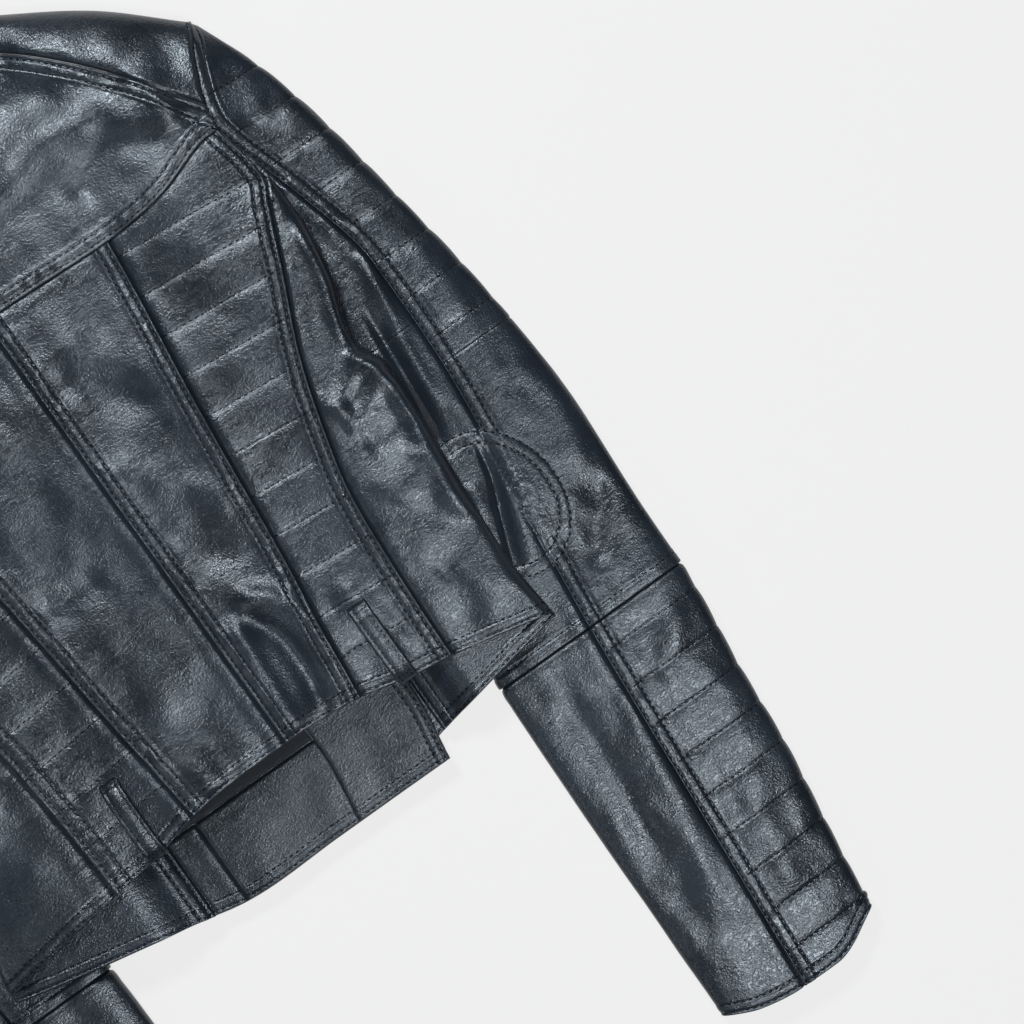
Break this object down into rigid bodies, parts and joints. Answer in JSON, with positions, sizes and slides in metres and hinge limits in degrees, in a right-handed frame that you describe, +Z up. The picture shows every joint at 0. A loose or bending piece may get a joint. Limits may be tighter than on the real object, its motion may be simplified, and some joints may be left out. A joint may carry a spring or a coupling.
{
  "type": "riding jacket",
  "caption": "Cropped leather riding jacket laid flat on its front: yoke, quilted panels, belt loops, quilted sleeves with oval elbow patches, lapels and a slanted zip.",
  "frame": {"origin": "middle of the base of the box round the jacket as it lies on its front", "axes": "+Y from the cuffs to the collar, +X to the wearer's right, +Z up, out of the back"},
  "size_m": [0.5288, 0.7302, 0.0357],
  "materials": {
    "leather": "semi-gloss",
    "lining": "satin",
    "tape": "woven",
    "metal": "polished"
  },
  "bodies": {
    "torso": {"back_centre_panel_left": "leather", "back_centre_panel_right": "leather", "back_lining": "lining", "back_quilted_panel_left": "leather", "back_quilted_panel_right": "leather", "back_yoke": "leather", "belt_loop_left": "leather", "belt_loop_right": "leather", "collar_fall": "leather", "collar_leaf_left": "leather", "collar_leaf_right": "leather", "collar_stand": "leather", "front_facing_left": "leather", "front_facing_right": "leather", "front_lining_left": "lining", "front_lining_right": "lining", "front_panel_left": "leather", "front_panel_right": "leather", "front_shoulder_panel_left": "leather", "front_shoulder_panel_right": "leather", "front_side_panel_left": "leather", "front_side_panel_right": "leather", "hanger_loop": "tape", "lapel_left": "leather", "lapel_right": "leather", "main_zip_left": "tape", "main_zip_right": "tape", "side_back_panel_left": "leather", "side_back_panel_right": "leather", "sleeve_cap_left": "leather", "sleeve_cap_right": "leather", "yoke_rivet": "metal"},
    "upper_sleeve_right": {"sleeve_upper_quilted_right": "leather", "elbow_panel_upper_right": "leather", "undersleeve_upper_right": "leather", "elbow_patch_right": "leather", "sleeve_lining_upper_right": "lining"},
    "forearm_sleeve_right": {"elbow_panel_lower_right": "leather", "undersleeve_elbow_right": "leather", "forearm_quilted_right": "leather", "undersleeve_forearm_right": "leather", "sleeve_lining_lower_right": "lining"},
    "upper_sleeve_left": {"sleeve_upper_quilted_left": "leather", "elbow_panel_upper_left": "leather", "undersleeve_upper_left": "leather", "elbow_patch_left": "leather", "sleeve_lining_upper_left": "lining"},
    "forearm_sleeve_left": {"elbow_panel_lower_left": "leather", "undersleeve_elbow_left": "leather", "forearm_quilted_left": "leather", "undersleeve_forearm_left": "leather", "sleeve_lining_lower_left": "lining"},
    "zip_slider": {"main_zip_slider": "metal"},
    "zip_pull": {"main_zip_pull": "metal"}
  },
  "joints": [
    {"name": "shoulder_right", "type": "hinge", "parent": "torso", "child": "upper_sleeve_right", "pos_m": [0.2105, 0.2158, 0.01], "axis": [0, 0, 1], "range_deg": [0, 45]},
    {"name": "elbow_right", "type": "hinge", "parent": "upper_sleeve_right", "child": "forearm_sleeve_right", "pos_m": [0.20552, -0.0452, 0.01], "axis": [0, 0, 1], "range_deg": [0, 30]},
    {"name": "shoulder_left", "type": "hinge", "parent": "torso", "child": "upper_sleeve_left", "pos_m": [-0.2105, 0.2158, 0.01], "axis": [0, 0, -1], "range_deg": [0, 45]},
    {"name": "elbow_left", "type": "hinge", "parent": "upper_sleeve_left", "child": "forearm_sleeve_left", "pos_m": [-0.20552, -0.0452, 0.01], "axis": [0, 0, -1], "range_deg": [0, 30]},
    {"name": "main_zip_slide", "type": "slide", "parent": "torso", "child": "zip_slider", "axis": [0.1337, -0.991, 0], "range_m": [0, 0.23]},
    {"name": "main_zip_pull_hinge", "type": "hinge", "parent": "zip_slider", "child": "zip_pull", "pos_m": [0.0191, 0.09991, 0.00085], "axis": [0.991, 0.1337, 0], "range_deg": [0, 150]}
  ]
}
